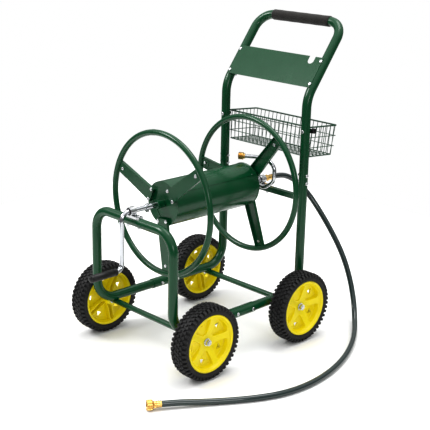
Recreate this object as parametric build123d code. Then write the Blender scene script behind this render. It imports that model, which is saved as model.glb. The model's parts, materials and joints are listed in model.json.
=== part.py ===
from build123d import *
import math
import os

# A garden hose reel cart: a tube frame on four wheels carries a reel that a crank turns.
# Units are millimetres. +Z is up, -Y is the crank end, +Y is the push handle end.
# The origin is on the floor, under the middle of the cart.
# A short leader hose hangs from the reel's water inlet and lies on the floor.

# ---- overall sizes ----
overall_length = 981.0        # crank grip's tip to the back of the foam grip
frame_length = 603.0          # front legs to rear posts, centre to centre
frame_width = 390.0           # side tube to side tube, centre to centre
crank_reach = 181.0           # front legs to the crank grip's tip
axle_drop = 23.0              # axles below the lower side rails, centre to centre
front_bar_height = 487.5      # centre of the front frame's top bar
bend_height = 847.5           # where the posts lean back
handle_height = 1087.5        # centre of the push bar

# ---- frame tube ----
tube_od = 31.8
tube_wall = 1.2
bottom_bend = 76.0            # centreline radii of the bends
top_bend = 70.0
handle_corner = 62.0
rake_bend = 110.0
socket_wall = 1.9             # the rear rails swell into sockets over the front rails
socket_clearance = 0.1
socket_front = -63.5
socket_length = 121.0
socket_neck = 5.0
rail_bolt_setback = 34.0      # first rail bolt behind the socket's mouth
rail_bolt_pitch = 74.0
handle_seam_height = 600.0    # where the push handle's tube meets the rear posts
handle_plug_length = 70.0
handle_bolt_heights = (548.0, 576.0)

# ---- foam grip and tool plate ----
foam_od = 38.0
foam_gap = 0.0                # between the foam and the push bar's bends
plate_start = 31.6            # up the raked tubes from their bend
plate_height = 117.0
plate_overhang = 2.0          # past the centres of the raked tubes
plate_thickness = 1.6
plate_bolt_inset = 14.0
plate_bolt_side = 5.0         # from the plate's ends
slot_centre_x = 148.0
slot_width = 27.0
slot_depth = 29.0

# ---- wheels and axles ----
wheel_od = 254.0
tyre_width = 68.0
tyre_inner_radius = 98.0
wheel_offset = 66.5           # wheel centres outside the side tubes' centres
front_axle_setback = 81.0     # behind the front legs
rear_axle_setback = 70.0      # in front of the rear posts
axle_diameter = 12.7
axle_tube_od = 20.0
axle_tube_bore = 13.2
axle_tube_overhang = 2.0      # past the outside of the side rails
washer_od = 26.0
washer_thickness = 2.0
axle_nut_width = 19.0
axle_nut_thickness = 10.0
axle_stub = 3.0
running_clearance = 0.08      # radial, for anything that turns on a shaft
face_clearance = 0.4          # along the axle, beside anything that turns
hub_boss_radius = 21.0
hub_recess = 27.0             # outer end of the boss, inside the tyre's outer face
rim_width = 58.0
rim_wall = 9.0
hub_spoke_count = 5
hub_spoke_width = 26.0
hub_opening = 18.0            # side of the opening between two spokes
hub_opening_radius = 66.0
hub_turn_left = -8.0          # first spoke, from +Y towards +Z
hub_turn_right = 5.0
hub_web = 5.0

# ---- reel ----
reel_centre_y = 8.7
ring_spacing = 403.2          # ring centre to ring centre
ring_outer_diameter = 496.0
ring_tube = 20.0
ring_wall = 1.2
ring_vent = 3.0               # hole in the inside of the hoop, made before it is welded shut
ring_vent_turn = 6.0          # degrees from the weld to the vent
ring_weld = 0.3               # bead that stands out where the hoop's ends are welded
ring_weld_turn = 3.0          # degrees of the hoop that the weld and its plug fill
drum_length = 384.0
drum_diameter = 150.0
sheet = 1.5
lap_width = 9.0
tab_depth = 35.0              # of each panel's end tab, in from the drum's surface
front_spoke_angle = 37.5      # of one spoke, from +X towards +Z
rear_spoke_angle = 50.8
spoke_root_inset = 25.0       # spoke ends in from the drum's surface
spoke_root_width = 48.0
spoke_tip_width = 38.0
spoke_bolt_inset = 13.0       # in from the drum's surface
spoke_bolt_spread = 18.5      # degrees each side of the spoke
ring_bolt_inset = 26.0        # in from the ring's centre
ring_tab_width = 26.0
ring_tab_length = 34.0

# ---- reel bearings and shafts ----
bearing_od = 31.0
bearing_bore = 26.0
bearing_length = 22.0
saddle_thickness = 3.0        # between the bar and the bearing tube
saddle_weld = 1.0             # the bearing tube is let into its saddle
saddle_skirt = 4.0            # how far the front saddle laps down round its bar
saddle_length = 76.0
saddle_width = 24.0
saddle_bolt_x = 27.0
front_bearing_offset = -8.0   # from the front bar's centre
rear_bearing_offset = -3.0    # from the support bar's centre
support_bar = 20.0
crank_rod = 16.0
water_tube_od = 22.0
boss_diameter = 28.0
boss_length = 29.0
stub_wall = 2.0
stub_length = 48.0
crank_overhang = 49.0         # crank arm in front of the front legs
crank_arm = 193.3             # shaft axis to grip axis
crank_bends = (28.0, 22.0)
crank_grip_od = 25.0
crank_grip_length = 109.0
grip_cap_thickness = 4.0

# ---- swan neck, where the stored hose screws on ----
neck_tube = 13.6
neck_wall = 1.2
neck_gap = 10.8               # between the nipple and the drum under it
nipple_overlap = 6.0          # the nipple slides over the neck by this much
neck_plane_y = 243.0
nipple_od = 26.4              # 3/4 inch garden hose thread
nipple_length = 18.0
nipple_bore = 12.0

# ---- basket ----
basket_overhang = 2.0         # past the centres of the posts
basket_depth = 146.0
basket_height = 107.0
basket_taper = 8.0
basket_wall = 1.2
basket_droop = 4.5            # degrees that the back hangs down
basket_rim_height = 745.0
basket_gap = 4.1              # behind the posts
clip_height = 733.0
clip_thickness = 2.0
clip_relief = 2.5             # clearance for the clip's nut in the basket's front wall

# ---- leader hose ----
hose_od = 20.0
ferrule_od = 22.0
ferrule_length = 27.0
inlet_nut_od = 27.0
inlet_length = 40.5
inlet_nut_length = 14.0
water_tube_cover = 4.0        # how far the rear shaft goes into the inlet
inlet_gap = 2.0               # between the rear bearing and the inlet
hose_exit = 48.0              # level run where the hose leaves the inlet
coupling_od = 33.0
coupling_length = 19.0
coupling_bore = 26.6
coupling_flange = 3.2
collar_radius = 10.5          # of the stem that the coupling nut turns on
collar_recess = 6.0
stem_radius = 8.0
hose_bore = 10.0
hose_run = [                  # (across, behind the inlet, height) of the hose's line after its level start
    (5, 95, 505.6), (21, 131, 478), (50, 159, 433.5), (90, 177, 376),
    (147, 187, 303), (200, 191, 228), (244, 185, 150), (285, 164, 76), (332, 116, 22),
    (384, 50, 10.3), (440, -38, 10.3), (490, -142, 10.3), (525, -258, 10.3), (538, -372, 10.3),
    (526, -478, 10.3), (486, -572, 10.3), (434, -656, 10.3), (389, -726, 13.5),
    (358.8, -773.2, 17.0), (331, -818.4, 17.0),
]

# ---- fasteners ----
bolt = 6.0
bolt_head = 12.5
bolt_head_height = 3.2
nut_width = 10.0
nut_height = 5.0
hole_clearance = 0.2

# ---- derived places ----
tip_front = -overall_length / 2
tip_rear = overall_length / 2
leg_y = tip_front + crank_reach
post_y = leg_y + frame_length
side_x = frame_width / 2
rail_height = wheel_od / 2 + axle_drop
tube_r = tube_od / 2
tube_bore_r = tube_r - tube_wall
push_bar_y = tip_rear - foam_od / 2
foam_length = frame_width - 2 * handle_corner - 2 * foam_gap
plate_width = frame_width + 2 * plate_overhang
basket_width = frame_width + 2 * basket_overhang
rake = math.atan2(push_bar_y - post_y, handle_height - bend_height)
rake_length = math.hypot(push_bar_y - post_y, handle_height - bend_height)
wheel_r = wheel_od / 2
wheel_x = side_x + wheel_offset
front_axle_y = leg_y + front_axle_setback
rear_axle_y = post_y - rear_axle_setback
axle_r = axle_diameter / 2
axle_tube_end = side_x + tube_r + axle_tube_overhang
hub_outer = wheel_x + tyre_width / 2 - hub_recess
hub_inner = axle_tube_end + washer_thickness + face_clearance
reel_z = front_bar_height + tube_r + saddle_thickness + bearing_od / 2
support_bar_z = reel_z - bearing_od / 2 - saddle_thickness - support_bar / 2
ring_r = ring_outer_diameter / 2 - ring_tube / 2
drum_r = drum_diameter / 2
drum_half = drum_length / 2
spoke_root = drum_r - spoke_root_inset
spoke_bolt_radius = drum_r - spoke_bolt_inset
ring_bolt_radius = ring_r - ring_bolt_inset
stub_od = crank_rod + 2 * stub_wall
ring_half = ring_spacing / 2
front_bearing_y = leg_y + front_bearing_offset
rear_bearing_y = post_y + rear_bearing_offset
crank_y = leg_y - crank_overhang
crank_grip_z = reel_z - crank_arm
rail_bolt_ys = [socket_front + rail_bolt_setback, socket_front + rail_bolt_setback + rail_bolt_pitch]
socket_r = tube_r + socket_clearance + socket_wall
basket_front = post_y + tube_r + basket_gap
neck_rise = drum_diameter / 2 + nipple_od / 2 + neck_gap
inlet_y = rear_bearing_y + bearing_length / 2 + inlet_gap
hose_y = inlet_y + inlet_length
hose_start = [(0, hose_y, reel_z), (0, hose_y + hose_exit, reel_z)]
hose_route = hose_start + [(x, hose_y + y, z) for x, y, z in hose_run]


# ---- small builders ----
def rod(start, end, radius):
    """A round bar between two points."""
    along = Vector(*end) - Vector(*start)
    return Solid.make_cylinder(radius, along.length, Plane(origin=start, z_dir=along))


def pipe(start, end, outer, inner):
    """A straight tube between two points."""
    return rod(start, end, outer) - rod(start, end, inner)


def bent(points, radii, outer, inner=0):
    """A tube, or a bar when inner is 0, along straight runs joined by arcs."""
    path = FilletPolyline(*points, radius=radii)
    start = Plane(origin=path @ 0, z_dir=path % 0)
    section = Circle(outer) - Circle(inner) if inner else Circle(outer)
    return sweep(start * section, path=path)


def hexagon(start, end, width, bore):
    """A hexagonal nut between two points, with a round hole."""
    along = Vector(*end) - Vector(*start)
    flat = RegularPolygon(width / 2, 6, major_radius=False) - Circle(bore)
    return extrude(Plane(origin=start, z_dir=along) * flat, amount=along.length)


def towards(start, direction, distance):
    """The point at a distance from start."""
    unit = Vector(*direction).normalized()
    return tuple(Vector(*start) + unit * distance)


def bolt_and_nut(head_at, direction, grip):
    """A round-headed bolt through a grip length, and its nut, as two solids."""
    shank_end = towards(head_at, direction, grip + nut_height + bolt / 3)
    head_top = towards(head_at, direction, -bolt_head_height)
    head = rod(head_top, head_at, bolt_head / 2)
    head = fillet(head.edges().filter_by(GeomType.CIRCLE).sort_by_distance(head_top)[0], bolt_head_height * 0.8)
    nut_start = towards(head_at, direction, grip)
    nut_end = towards(head_at, direction, grip + nut_height)
    return [head + rod(head_at, shank_end, bolt / 2), hexagon(nut_start, nut_end, nut_width, bolt / 2)]


def bolt_hole(head_at, direction, grip):
    """The clearance hole for a bolt."""
    start = towards(head_at, direction, -1)
    return rod(start, towards(head_at, direction, grip + 1), bolt / 2 + hole_clearance)


def about_reel(shape, angle=0.0):
    """Turn a shape, drawn round the world's Y axis, to an angle and lift it to the reel's axis."""
    return Pos(0, reel_centre_y, reel_z) * Rot(0, -angle, 0) * shape


def polar(radius, angle):
    """The (x, z) place at a radius and an angle from +X towards +Z."""
    return radius * math.cos(math.radians(angle)), radius * math.sin(math.radians(angle))


def slab(outline, y0, y1):
    """A flat plate with an outline in X and Z, between two Y planes."""
    face = Pos(0, y0, 0) * (Plane.XZ * outline)
    return extrude(face, amount=y0 - y1)


# ---- frame ----
def rail_bolt_specs():
    """Head place, direction and grip of the bolts through the rail sockets."""
    return [((s * socket_r, y, rail_height), (-s, 0, 0), 2 * socket_r, s) for s in (-1, 1) for y in rail_bolt_ys]


def rail_bolts():
    parts = []
    for head, direction, grip, s in rail_bolt_specs():
        parts += bolt_and_nut((s * side_x + head[0], head[1], head[2]), direction, grip)
    return parts


def rail_holes():
    return [bolt_hole((s * side_x + h[0], h[1], h[2]), d, g) for h, d, g, s in rail_bolt_specs()]


def axle_tube_solid(y):
    return rod((-axle_tube_end, y, wheel_r), (axle_tube_end, y, wheel_r), axle_tube_od / 2)


def front_frame():
    """An upturned U of tube whose legs bend back into the side rails."""
    rail_end = socket_front + socket_length - socket_neck
    points = [
        (-side_x, rail_end, rail_height), (-side_x, leg_y, rail_height), (-side_x, leg_y, front_bar_height),
        (side_x, leg_y, front_bar_height), (side_x, leg_y, rail_height), (side_x, rail_end, rail_height),
    ]
    frame = bent(points, [bottom_bend, top_bend, top_bend, bottom_bend], tube_r, tube_bore_r)
    frame -= axle_tube_solid(front_axle_y)
    for hole in rail_holes() + saddle_holes(leg_y):
        frame -= hole
    return frame


def rear_side(s):
    """A post that bends forward into a side rail and ends in a socket over the front rail."""
    x = s * side_x
    neck_start = socket_front + socket_length - socket_neck
    socket_end = socket_front + socket_length
    tube = bent([(x, socket_end, rail_height), (x, post_y, rail_height), (x, post_y, handle_seam_height)],
                [bottom_bend], tube_r, tube_bore_r)
    socket = pipe((x, socket_front, rail_height), (x, neck_start, rail_height), socket_r, tube_r + socket_clearance)
    neck = pipe((x, neck_start, rail_height), (x, socket_end, rail_height), socket_r, tube_bore_r)
    side = tube + neck + socket
    side -= axle_tube_solid(rear_axle_y)
    for hole in rail_holes() + handle_holes():
        side -= hole
    return side


def support_bar_node():
    """The square bar between the posts, under the reel's rear bearing."""
    reach = side_x
    bar = Pos(0, post_y, support_bar_z) * Box(2 * reach, support_bar, support_bar)
    bar = fillet(bar.edges().filter_by(Axis.X), 2.5)
    bar -= Pos(0, post_y, support_bar_z) * Box(2 * reach, support_bar - 2 * tube_wall, support_bar - 2 * tube_wall)
    for s in (-1, 1):
        bar -= rod((s * side_x, post_y, rail_height), (s * side_x, post_y, handle_seam_height), tube_r)
    for hole in saddle_holes(post_y):
        bar -= hole
    return bar


def handle_bolt_specs():
    """Bolts through each post, from its outer side, where the handle plugs in."""
    return [((s * (side_x + tube_r), post_y, z), (-s, 0, 0), tube_od) for s in (-1, 1) for z in handle_bolt_heights]


def handle_holes():
    return [bolt_hole(*spec) for spec in handle_bolt_specs()]


def handle_bolts():
    return [piece for spec in handle_bolt_specs() for piece in bolt_and_nut(*spec)]


def push_handle():
    """The upper posts, raked back and closed by the push bar, with plugs that enter the rear posts."""
    points = [
        (-side_x, post_y, handle_seam_height), (-side_x, post_y, bend_height),
        (-side_x, push_bar_y, handle_height), (side_x, push_bar_y, handle_height),
        (side_x, post_y, bend_height), (side_x, post_y, handle_seam_height),
    ]
    handle = bent(points, [rake_bend, handle_corner, handle_corner, rake_bend], tube_r, tube_bore_r)
    plug_r = tube_bore_r - socket_clearance
    for s in (-1, 1):
        low = (s * side_x, post_y, handle_seam_height - handle_plug_length)
        seam = (s * side_x, post_y, handle_seam_height)
        collar = (s * side_x, post_y, handle_seam_height + tube_wall)
        handle += pipe(low, collar, plug_r, plug_r - tube_wall)
        handle += pipe(seam, collar, tube_bore_r + tube_wall / 2, plug_r - tube_wall)
    for hole in handle_holes() + plate_holes() + clip_holes():
        handle -= hole
    return handle


def foam_grip():
    half = foam_length / 2
    grip = pipe((-half, push_bar_y, handle_height), (half, push_bar_y, handle_height), foam_od / 2, tube_r)
    return chamfer(grip.edges().filter_by(GeomType.CIRCLE).group_by(SortBy.RADIUS)[-1], 1.5)


# ---- tool plate on the raked tubes ----
def raked(x, up, out):
    """A place on the raked tubes: across, up the rake from the bend, and out to the front."""
    y = post_y + up * math.sin(rake) - out * math.cos(rake)
    return (x, y, bend_height + up * math.cos(rake) + out * math.sin(rake))


rake_normal = (0, -math.cos(rake), math.sin(rake))


def plate_bolt_specs():
    x = plate_width / 2 - plate_bolt_side
    ups = (plate_start + plate_bolt_inset, plate_start + plate_height - plate_bolt_inset)
    back = tuple(-c for c in rake_normal)
    return [(raked(s * x, up, tube_r + plate_thickness), back, tube_od + plate_thickness)
            for s in (-1, 1) for up in ups]


def plate_holes():
    return [bolt_hole(*spec) for spec in plate_bolt_specs()]


def plate_bolts():
    return [piece for spec in plate_bolt_specs() for piece in bolt_and_nut(*spec)]


def tool_plate():
    """A flat plate with a slot in its top edge that holds a tool's handle."""
    middle = raked(0, plate_start + plate_height / 2, tube_r)
    plane = Plane(origin=middle, x_dir=(1, 0, 0), z_dir=rake_normal)
    outline = Rectangle(plate_width, plate_height)
    slot_end = plate_height / 2 - slot_depth + slot_width / 2
    slot = Pos(slot_centre_x, slot_end) * Circle(slot_width / 2)
    slot += Pos(slot_centre_x, slot_end + slot_depth / 2) * Rectangle(slot_width, slot_depth)
    plate = extrude(plane * (outline - slot), amount=plate_thickness)
    for hole in plate_holes():
        plate -= hole
    return plate


# ---- axles ----
def axle_tube(y):
    bore = rod((-axle_tube_end, y, wheel_r), (axle_tube_end, y, wheel_r), axle_tube_bore / 2)
    return axle_tube_solid(y) - bore


def axle_end():
    return hub_outer + face_clearance + washer_thickness + axle_nut_thickness + axle_stub


def axle(y):
    return rod((-axle_end(), y, wheel_r), (axle_end(), y, wheel_r), axle_r)


def axle_washers():
    parts = []
    for y in (front_axle_y, rear_axle_y):
        for s in (-1, 1):
            for x in (axle_tube_end, hub_outer + face_clearance):
                parts.append(pipe((s * x, y, wheel_r), (s * (x + washer_thickness), y, wheel_r), washer_od / 2, axle_r))
    return parts


def axle_nuts():
    x = hub_outer + face_clearance + washer_thickness
    return [hexagon((s * x, y, wheel_r), (s * (x + axle_nut_thickness), y, wheel_r), axle_nut_width, axle_r)
            for y in (front_axle_y, rear_axle_y) for s in (-1, 1)]


# ---- wheels ----
def on_axle(shape, s, y):
    """Turn a wheel part, drawn round Z with its outer face up, onto its axle."""
    return Pos(s * wheel_x, y, wheel_r) * Rot(0, s * 90, 0) * shape


def tyre(s, y):
    """A solid tyre with rounded shoulders and three grooves round its tread."""
    half = tyre_width / 2
    crown = wheel_r - tyre_inner_radius
    profile = Pos(tyre_inner_radius + crown / 2, 0) * RectangleRounded(crown, tyre_width, 11)
    bead = Pos(tyre_inner_radius, 0) * Rectangle(6, rim_width)
    body = revolve(Plane.XZ * (profile + bead - Pos(tyre_inner_radius - 3, 0) * Rectangle(6, tyre_width)), Axis.Z)
    for z in (-half / 2, 0, half / 2):
        body -= revolve(Plane.XZ * (Pos(wheel_r, z) * Rectangle(5, 3)), Axis.Z)
    return on_axle(body, s, y)


def wheel_hub(s, y):
    """A moulded hub: a boss, a web with openings, raised spokes and a rim that the tyre sits on."""
    inner_end = hub_inner - wheel_x
    outer_end = hub_outer - wheel_x
    rim_inner = tyre_inner_radius - rim_wall
    first = 90 - hub_turn_left if s < 0 else 90 + hub_turn_right
    hub = pipe((0, 0, -rim_width / 2), (0, 0, rim_width / 2), tyre_inner_radius, rim_inner)
    hub += rod((0, 0, inner_end), (0, 0, outer_end), hub_boss_radius)
    hub += rod((0, 0, -hub_web / 2), (0, 0, hub_web / 2), rim_inner + 1)
    for i in range(hub_spoke_count):
        angle = first + i * 360 / hub_spoke_count
        reach = (hub_boss_radius + rim_inner) / 2
        spoke = Pos(reach, 0, outer_end / 2) * Box(rim_inner - hub_boss_radius + 6, hub_spoke_width, outer_end)
        opening = Pos(hub_opening_radius, 0, 0) * Box(hub_opening, hub_opening, 2 * hub_web)
        hub += Rot(0, 0, angle) * spoke
        hub -= Rot(0, 0, angle + 180 / hub_spoke_count) * opening
    hub -= rod((0, 0, inner_end), (0, 0, outer_end), axle_r + running_clearance)
    return on_axle(hub, s, y)


# ---- reel: everything here turns on the reel's axis ----
def hoop_arc(s, section, start, turn):
    """A stretch of the hoop with this section, from one angle back through a turn, in degrees."""
    arc = revolve(Pos(ring_r, s * ring_half, 0) * section, axis=Axis.Y, revolution_arc=turn)
    return Rot(0, -start, 0) * arc


def ring(s, angle):
    """A hoop of tube with three welded tabs for the spokes; s is -1 at the crank end."""
    y = s * ring_half
    outer = ring_tube / 2
    seam = angle + 60
    wall = Circle(outer) - Circle(outer - ring_wall)
    hoop = hoop_arc(s, wall, seam, 360 - ring_weld_turn)
    hoop += hoop_arc(s, Circle(outer + ring_weld), seam + ring_weld_turn, ring_weld_turn)
    vx, vz = polar(ring_r - ring_tube, seam - ring_vent_turn)
    wx, wz = polar(ring_r, seam - ring_vent_turn)
    hoop -= rod((vx, y, vz), (wx, y, wz), ring_vent / 2)
    tab = Pos(ring_bolt_radius + 2, 0) * Rectangle(ring_tab_length, ring_tab_width)
    for i in range(3):
        turn = angle + 120 * i
        plate = Rot(0, -turn, 0) * slab(tab, y - s * sheet, y)
        hoop += plate - hoop_arc(s, Circle(outer - ring_wall / 2), turn + 20, 40)
        hx, hz = polar(ring_bolt_radius, turn)
        hoop -= rod((hx, y - 9, hz), (hx, y + 9, hz), bolt / 2 + hole_clearance)
    return about_reel(hoop)


def spoke(s, angle):
    """A tapered channel from the drum's end to the ring, its flanges towards the drum."""
    tip = ring_r - ring_tube / 2 + 3
    outer = make_face(Polyline((spoke_root, -spoke_root_width / 2), (tip, -spoke_tip_width / 2),
                               (tip, spoke_tip_width / 2), (spoke_root, spoke_root_width / 2), close=True))
    inset_root = spoke_root_width / 2 - sheet
    inset_tip = spoke_tip_width / 2 - sheet
    inner = make_face(Polyline((spoke_root - 1, -inset_root), (tip + 1, -inset_tip),
                               (tip + 1, inset_tip), (spoke_root - 1, inset_root), close=True))
    web_outside = s * (ring_half + sheet)
    channel = slab(outer, s * drum_half, web_outside) - slab(inner, s * drum_half, s * ring_half)
    channel -= Pos(0, s * ring_half, 0) * Rot(90, 0, 0) * Torus(ring_r, ring_tube / 2 + 0.02)
    for spread in (-spoke_bolt_spread, spoke_bolt_spread):
        hx, hz = polar(spoke_bolt_radius, spread)
        channel -= rod((hx, s * drum_half, hz), (hx, web_outside + s, hz), bolt / 2 + hole_clearance)
    channel -= rod((ring_bolt_radius, s * drum_half, 0), (ring_bolt_radius, web_outside + s, 0), bolt / 2 + hole_clearance)
    return about_reel(channel, angle)


def spoke_bolts(s, angle):
    """Two bolts through each spoke's foot and one where it meets the ring."""
    parts = []
    web = s * (ring_half + sheet)
    for i in range(3):
        for spread in (-spoke_bolt_spread, spoke_bolt_spread):
            x, z = polar(spoke_bolt_radius, angle + 120 * i + spread)
            grip = ring_half + sheet - drum_half + 2 * sheet
            parts += bolt_and_nut((x, web, z), (0, -s, 0), grip)
        x, z = polar(ring_bolt_radius, angle + 120 * i)
        parts += bolt_and_nut((x, web, z), (0, -s, 0), 2 * sheet)
    return [about_reel(p) for p in parts]


def drum_bolt_holes(s, angle):
    """Clearance holes in the drum's end for the spokes' bolts."""
    holes = []
    for i in range(3):
        for spread in (-spoke_bolt_spread, spoke_bolt_spread):
            x, z = polar(spoke_bolt_radius, angle + 120 * i + spread)
            holes.append(rod((x, s * (drum_half + 1), z), (x, s * (drum_half - 8), z), bolt / 2 + hole_clearance))
    return holes


def sector(inner, outer, start, end, y0, y1):
    """A curved strip round the Y axis between two radii and two angles."""
    x0, z0 = polar(inner, start)
    x1, z1 = polar(outer, start)
    x2, z2 = polar(outer, end)
    x3, z3 = polar(inner, end)
    middle = (start + end) / 2
    edge = [Line((x0, z0), (x1, z1)), ThreePointArc((x1, z1), polar(outer, middle), (x2, z2)),
            Line((x2, z2), (x3, z3)), ThreePointArc((x3, z3), polar(inner, middle), (x0, z0))]
    return slab(make_face(edge), y0, y1)


def drum_panel(index):
    """A third of the drum: a curved sheet with a lapped edge and a flat tab at each end."""
    seam = (front_spoke_angle + rear_spoke_angle) / 2 + 120 * index
    inner = drum_r - sheet
    panel = sector(inner, drum_r, seam, seam + 120, -drum_half, drum_half)
    lap_angle = math.degrees(lap_width / drum_r)
    joint_angle = 0.4
    panel += sector(drum_r, drum_r + sheet, seam - lap_angle, seam + lap_angle / 2, -drum_half, drum_half)
    panel -= sector(inner - 1, drum_r, seam - 1, seam, -drum_half, drum_half)
    panel -= sector(inner - 1, drum_r + 1, seam + 120 - joint_angle / 2, seam + 121, -drum_half, drum_half)
    for s, angle in ((-1, front_spoke_angle), (1, rear_spoke_angle)):
        middle = angle + 120 * index + 60
        disc = Circle(inner + 0.2)
        cut = Pos(-tab_depth, 0) * Rectangle(2 * drum_r, 4 * drum_r)
        tab = Rot(0, -middle, 0) * slab(disc - cut, s * (drum_half - sheet), s * drum_half)
        wedge = slab(make_face(Polyline((0, 0), polar(2 * drum_r, seam + joint_angle),
                                        polar(3 * drum_r, seam + 60),
                                        polar(2 * drum_r, seam + 120 - joint_angle), close=True)),
                     -drum_half - 1, drum_half + 1)
        panel += tab & wedge
        for hole in drum_bolt_holes(s, angle):
            panel -= hole
    return about_reel(panel)


def end_plate(s, angle, bore):
    """The disc behind the drum's end tabs, with the boss that holds the shaft."""
    inside = s * (drum_half - 2 * sheet)
    outside = s * (drum_half - sheet)
    plate = slab(Circle(drum_r - sheet), inside, outside)
    plate += rod((0, inside, 0), (0, s * (drum_half + boss_length), 0), boss_diameter / 2)
    plate -= rod((0, inside - s, 0), (0, s * (drum_half + boss_length), 0), bore)
    for hole in drum_bolt_holes(s, angle):
        plate -= hole
    return about_reel(plate)


def stub_shaft():
    """The tube on the drum's crank end that the crank rod plugs into."""
    front = -(drum_half + boss_length + stub_length)
    back = -(drum_half - 25)
    tube = pipe((0, front, 0), (0, back, 0), stub_od / 2, crank_rod / 2)
    return about_reel(tube - rod((0, front + 9, -20), (0, front + 9, 20), bolt / 2 + hole_clearance))


def crank_bolt_spec():
    y = reel_centre_y - (drum_half + boss_length + stub_length) + 9
    return (0, y, reel_z + stub_od / 2), (0, 0, -1), stub_od


def crank_bolt():
    return bolt_and_nut(*crank_bolt_spec())


def crank_arm_rod():
    """One bent bar: the shaft in the front bearing, the arm, and the pin inside the grip."""
    back = reel_centre_y - drum_half - boss_length
    tip = tip_front + grip_cap_thickness
    arm = bent([(0, back, reel_z), (0, crank_y, reel_z), (0, crank_y, crank_grip_z), (0, tip, crank_grip_z)],
               list(crank_bends), crank_rod / 2)
    neck = crank_rod / 2 + 1
    pin_start = tip_front + crank_grip_length
    arm -= pipe((0, pin_start, crank_grip_z), (0, tip, crank_grip_z), neck, crank_rod / 2 - 2)
    return arm - bolt_hole(*crank_bolt_spec())


def grip_cap():
    """The push-on cap that keeps the grip on its pin."""
    inside = tip_front + grip_cap_thickness
    return rod((0, tip_front, crank_grip_z), (0, inside, crank_grip_z), crank_rod / 2)


def crank_grip():
    """The plain round grip that spins on the crank's pin."""
    inside = tip_front + crank_grip_length - face_clearance
    outside = tip_front + grip_cap_thickness + face_clearance
    pin = crank_rod / 2 - 2
    return pipe((0, outside, crank_grip_z), (0, inside, crank_grip_z), crank_grip_od / 2, pin + running_clearance)


def water_tube():
    """The hollow rear shaft that carries water from the inlet to the swan neck."""
    front = reel_centre_y + drum_half - 25
    back = inlet_y + water_tube_cover
    tube = pipe((0, front, reel_z), (0, back, reel_z), water_tube_od / 2, neck_tube / 2)
    return tube - rod((0, neck_plane_y, reel_z), (water_tube_od, neck_plane_y, reel_z - 4), neck_tube / 2)


def neck_points():
    """The swan neck's line, out from the rear shaft, up and back over the drum."""
    top = reel_z + neck_rise
    return [
        (0, neck_plane_y, reel_z), (58, neck_plane_y, reel_z - 10.5), (104, neck_plane_y, reel_z + 20),
        (104, neck_plane_y, top - 25), (70, neck_plane_y - 5, top - 1),
        (24, neck_plane_y - 20, top), (-8, neck_plane_y - 41.5, top),
    ]


def neck_radii():
    """The radius of each bend in the swan neck."""
    return [34.0, 34.0, 32.0, 40.0, 40.0]


def swan_neck():
    """A bent tube from the rear shaft to the threaded nipple over the drum."""
    neck = bent(neck_points(), neck_radii(), neck_tube / 2, neck_tube / 2 - neck_wall)
    return neck - rod((0, neck_plane_y - 20, reel_z), (0, neck_plane_y + 20, reel_z), water_tube_od / 2)


def nipple_line():
    """The threaded nipple's two ends."""
    points = neck_points()
    along = Vector(*points[-1]) - Vector(*points[-2])
    start = Vector(*points[-1]) - along.normalized() * nipple_overlap
    return start, start + along.normalized() * (nipple_length + nipple_overlap)


def hose_nipple():
    """A brass end with a male hose thread, slid over the swan neck's end."""
    start, end = nipple_line()
    along = (end - start).normalized()
    shoulder = start + along * nipple_overlap
    tail = rod(tuple(start), tuple(shoulder + along), nipple_od / 2 - 4)
    body = rod(tuple(shoulder), tuple(end), nipple_od / 2)
    nipple = tail + body - rod(tuple(start), tuple(shoulder), neck_tube / 2)
    return nipple - rod(tuple(start), tuple(end), nipple_bore / 2)


# ---- bearings ----
def saddle_bolt_specs(y):
    top = reel_z - bearing_od / 2 + saddle_weld
    depth = tube_od if y == leg_y else support_bar
    return [((s * saddle_bolt_x, y, top), (0, 0, -1), saddle_weld + saddle_thickness + depth) for s in (-1, 1)]


def saddle_holes(y):
    return [bolt_hole(*spec) for spec in saddle_bolt_specs(y)]


def bearing_bolts():
    return [p for y in (leg_y, post_y) for spec in saddle_bolt_specs(y) for p in bolt_and_nut(*spec)]


def bearing(y, bearing_y, bar, skirt):
    """A short tube on a saddle that bolts down onto its bar."""
    top = reel_z - bearing_od / 2 + saddle_weld
    height = saddle_weld + saddle_thickness + skirt
    base = Pos(0, y, top - height / 2) * Box(saddle_length, saddle_width, height)
    base = fillet(base.edges().filter_by(Axis.Z), saddle_width / 4) - bar
    front = bearing_y - bearing_length / 2
    back = bearing_y + bearing_length / 2
    body = base + rod((0, front, reel_z), (0, back, reel_z), bearing_od / 2)
    body -= rod((0, front - saddle_width, reel_z), (0, back + saddle_width, reel_z), bearing_bore / 2)
    for hole in saddle_holes(y):
        body -= hole
    return body


def bush(bearing_y, shaft):
    half = bearing_length / 2
    return pipe((0, bearing_y - half, reel_z), (0, bearing_y + half, reel_z), bearing_bore / 2, shaft / 2 + running_clearance)


# ---- basket ----
def basket_place(shape):
    """Hang a basket part from the front rim's line, which is the local origin, with its droop."""
    return Pos(0, basket_front, basket_rim_height) * Rot(-basket_droop, 0, 0) * shape


def basket():
    """The basket's outer shape as a thin open tray."""
    def tray(inset, floor_lift, top_lift):
        rim = Rectangle(basket_width - 2 * inset, basket_depth - 2 * inset)
        base = Rectangle(basket_width - basket_taper - 2 * inset, basket_depth - 2 * basket_taper - 2 * inset)
        middle = basket_depth / 2
        top = Pos(0, middle, top_lift) * rim
        bottom = Pos(0, middle, -basket_height + floor_lift) * base
        return loft([bottom, top])
    shell = basket_place(tray(0, 0, 0) - tray(basket_wall, basket_wall, 0.5))
    for head, direction, grip in clip_bolt_specs():
        nut_start = towards(head, direction, grip - clip_relief)
        shell -= rod(nut_start, towards(nut_start, direction, 6 * clip_relief), nut_width / 2 + clip_relief)
    return shell


def clip_bolt_specs():
    return [((s * side_x, post_y - tube_r, clip_height), (0, 1, 0), tube_od + clip_thickness) for s in (-1, 1)]


def clip_holes():
    return [bolt_hole(*spec) for spec in clip_bolt_specs()]


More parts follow.
